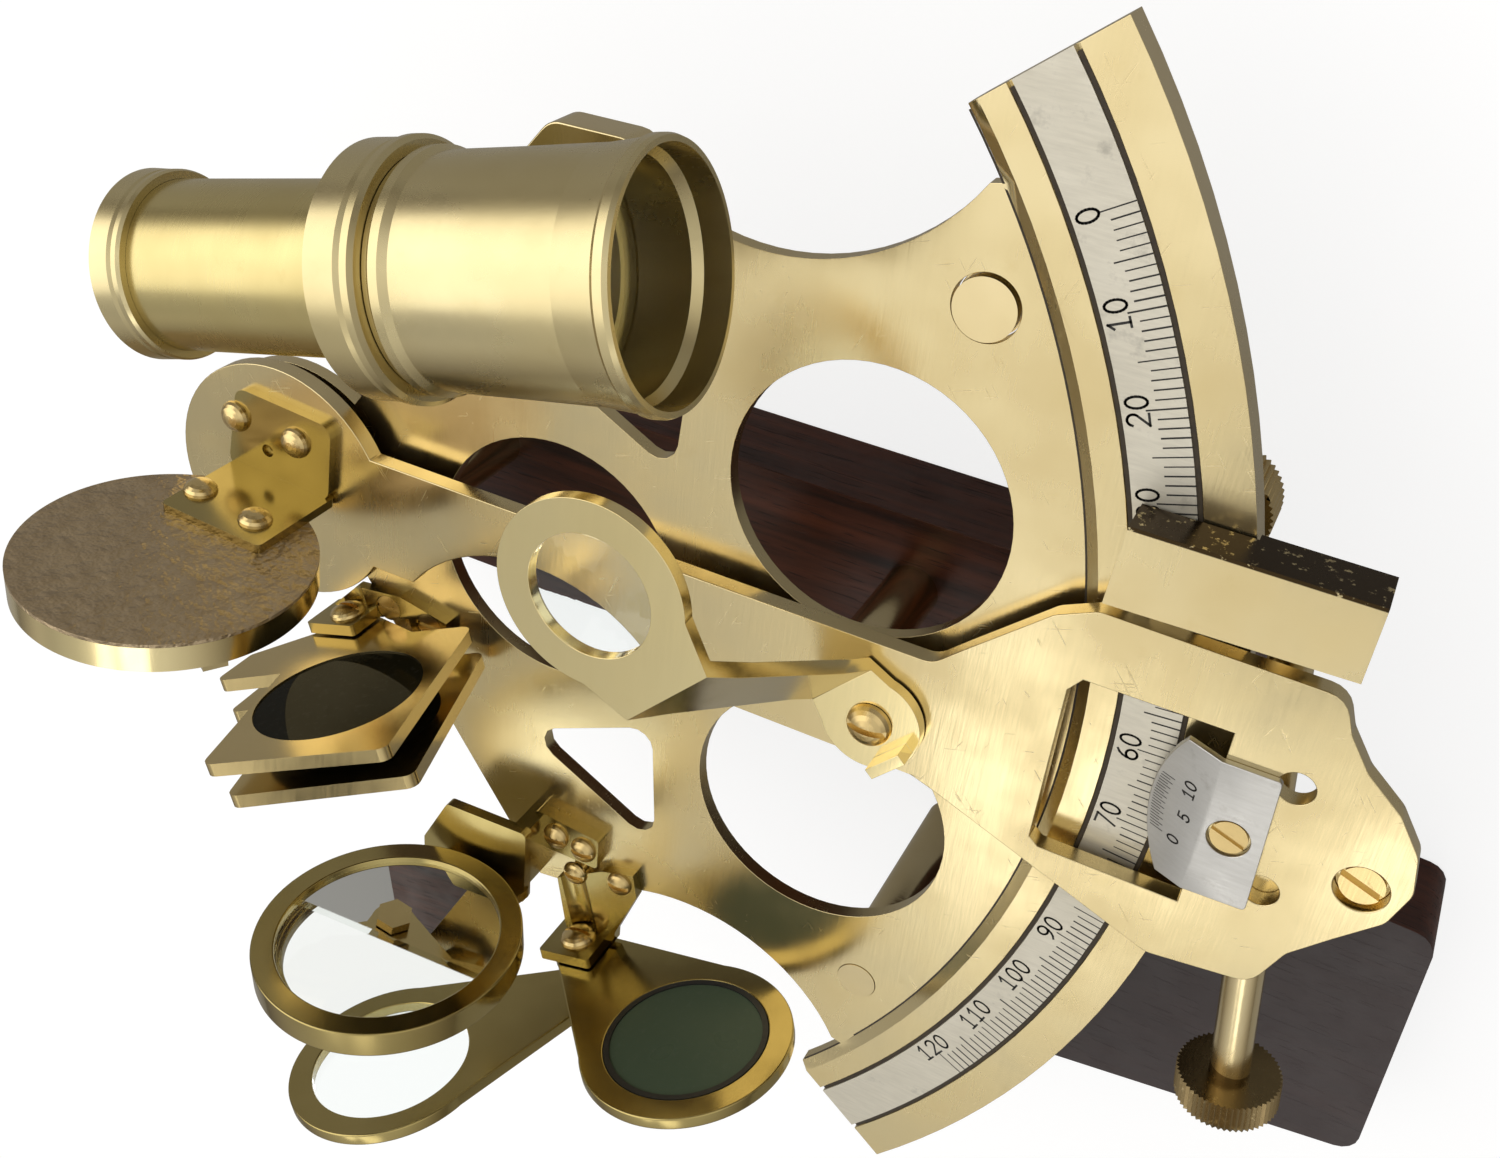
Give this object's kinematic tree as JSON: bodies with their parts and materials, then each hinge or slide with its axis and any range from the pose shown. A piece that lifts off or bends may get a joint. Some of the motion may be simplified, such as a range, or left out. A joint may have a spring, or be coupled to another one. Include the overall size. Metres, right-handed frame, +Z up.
{
  "type": "sextant",
  "caption": "Small brass sextant: silvered arc, swinging index arm with vernier and tangent screw, two mirrors, tinted shades, magnifier, swivelling telescope, dark wooden handle.",
  "frame": {"origin": "pivot axis of the index arm, on the plane that the sextant rests on (under side of the wooden handle and the two legs)", "axes": "+X along the index arm from the pivot toward the scale, +Z up from the rest plane to the scale, +Y toward the scale's zero end"},
  "size_m": [0.1759, 0.1596, 0.0816],
  "materials": {
    "polished_brass": "polished flat sheet and cast brass",
    "bright_brass": "mirror-bright turned and bent brass",
    "clamp_brass": "polished, with a darkened outer face",
    "shade_brass": "satin brass with polished edges",
    "screw_brass": "turned brass with dark slots",
    "scale_silver": "silvered, fine circular brushing",
    "vernier_steel": "satin grey",
    "handle_wood": "dark red-brown hardwood, waxed",
    "mirror_backing": "grainy grey-brown paint",
    "mirror_face": "silvered glass",
    "clear_glass": "clear",
    "dark_glass": "near-black neutral tint",
    "green_glass": "dark green tint",
    "black_gasket": "matt black sealing ring"
  },
  "bodies": {
    "frame": {"frame": "polished_brass", "scale_strip": "scale_silver", "zero_end_leg": "bright_brass", "far_end_leg": "bright_brass", "handle": "handle_wood", "handle_pillars": "bright_brass", "handle_screws": "screw_brass", "pivot_bush": "polished_brass", "index_shade_bracket": "polished_brass", "index_shade_screws": "screw_brass", "index_shade_pin": "screw_brass", "index_shade_spacer": "polished_brass", "horizon_mirror_bracket": "polished_brass", "horizon_mirror_screws": "screw_brass", "horizon_mirror_ring": "bright_brass", "horizon_mirror_glass": "clear_glass", "horizon_shade_bracket": "polished_brass", "horizon_shade_screws": "screw_brass", "horizon_shade_pin": "screw_brass", "horizon_shade_spacer": "polished_brass", "telescope_foot": "polished_brass", "telescope_foot_screws": "screw_brass"},
    "clamp": {"clamp_block": "clamp_brass"},
    "clamp_thumbscrew": {"clamp_screw": "bright_brass"},
    "index_arm": {"pivot_pin": "polished_brass", "pivot_nut": "screw_brass", "index_arm": "polished_brass", "vernier_plate": "vernier_steel", "vernier_screw": "screw_brass", "arm_end_screw": "screw_brass", "tangent_bearing": "polished_brass", "index_mirror_bracket": "bright_brass", "index_mirror_rivets": "screw_brass", "index_mirror_cell": "polished_brass", "index_mirror_back": "mirror_backing", "index_mirror_glass": "mirror_face", "index_mirror_clips": "bright_brass", "magnifier_screw": "screw_brass"},
    "tangent_screw": {"tangent_screw": "bright_brass"},
    "magnifier": {"magnifier_arm": "bright_brass", "magnifier_lens": "clear_glass"},
    "index_shade_1": {"index_shade_1": "shade_brass", "index_shade_glass_1": "dark_glass"},
    "index_shade_2": {"index_shade_2": "shade_brass", "index_shade_glass_2": "dark_glass"},
    "horizon_shade_1": {"horizon_shade_1": "shade_brass", "horizon_shade_glass_1": "green_glass", "green_shade_gasket": "black_gasket"},
    "horizon_shade_2": {"horizon_shade_2": "shade_brass", "horizon_shade_glass_2": "clear_glass"},
    "telescope": {"telescope_holder": "bright_brass", "telescope_nut": "screw_brass", "telescope_tube": "bright_brass", "objective_lens": "clear_glass"},
    "eyepiece": {"draw_tube": "bright_brass", "eyepiece_ring": "bright_brass", "eye_lens": "clear_glass"}
  },
  "joints": [
    {"name": "arm_sweep", "type": "hinge", "parent": "frame", "child": "clamp", "pos_m": [0, 0, 0.038], "axis": [0, 0, 1], "range_deg": [-25, 7.5]},
    {"name": "fine_adjustment", "type": "hinge", "parent": "clamp", "child": "index_arm", "pos_m": [0, 0, 0.038], "axis": [0, 0, 1], "range_deg": [-0.45, 0.45]},
    {"name": "tangent_screw_turn", "type": "hinge", "parent": "index_arm", "child": "tangent_screw", "pos_m": [0.12847, 0.01989, 0.0358], "axis": [0.153, -0.9882, 0], "range_deg": [-720, 720]},
    {"name": "clamp_screw_turn", "type": "hinge", "parent": "clamp", "child": "clamp_thumbscrew", "pos_m": [0.116, 0.0266, 0.034], "axis": [0, 0, 1], "range_deg": [-180, 90]},
    {"name": "magnifier_swing", "type": "hinge", "parent": "index_arm", "child": "magnifier", "pos_m": [0.0871, -0.0016, 0.0416], "axis": [0, 0, 1], "range_deg": [-141, 40]},
    {"name": "index_shade_1_swing", "type": "hinge", "parent": "frame", "child": "index_shade_1", "pos_m": [0.01009, -0.02086, 0.0408], "axis": [0.309, -0.9511, 0], "range_deg": [0, 105]},
    {"name": "index_shade_2_swing", "type": "hinge", "parent": "frame", "child": "index_shade_2", "pos_m": [0.01009, -0.02086, 0.0408], "axis": [0.309, -0.9511, 0], "range_deg": [0, 108]},
    {"name": "green_shade_swing", "type": "hinge", "parent": "frame", "child": "horizon_shade_1", "pos_m": [0.0492, -0.0633, 0.0407], "axis": [0.2656, -0.9641, 0], "range_deg": [-5, 100]},
    {"name": "clear_shade_swing", "type": "hinge", "parent": "frame", "child": "horizon_shade_2", "pos_m": [0.0492, -0.0633, 0.0407], "axis": [0.2656, -0.9641, 0], "range_deg": [-76, 105]},
    {"name": "telescope_swivel", "type": "hinge", "parent": "frame", "child": "telescope", "pos_m": [0.03938, 0.04838, 0.06462], "axis": [0, 0, -1], "range_deg": [-75, 18]},
    {"name": "eyepiece_focus", "type": "slide", "parent": "telescope", "child": "eyepiece", "axis": [-0.9732, -0.2247, 0.0488], "range_m": [-0.007, 0.006]}
  ],
  "couplings": [
    {"joint": "fine_adjustment", "follows": "tangent_screw_turn", "ratio": 0.000612}
  ]
}
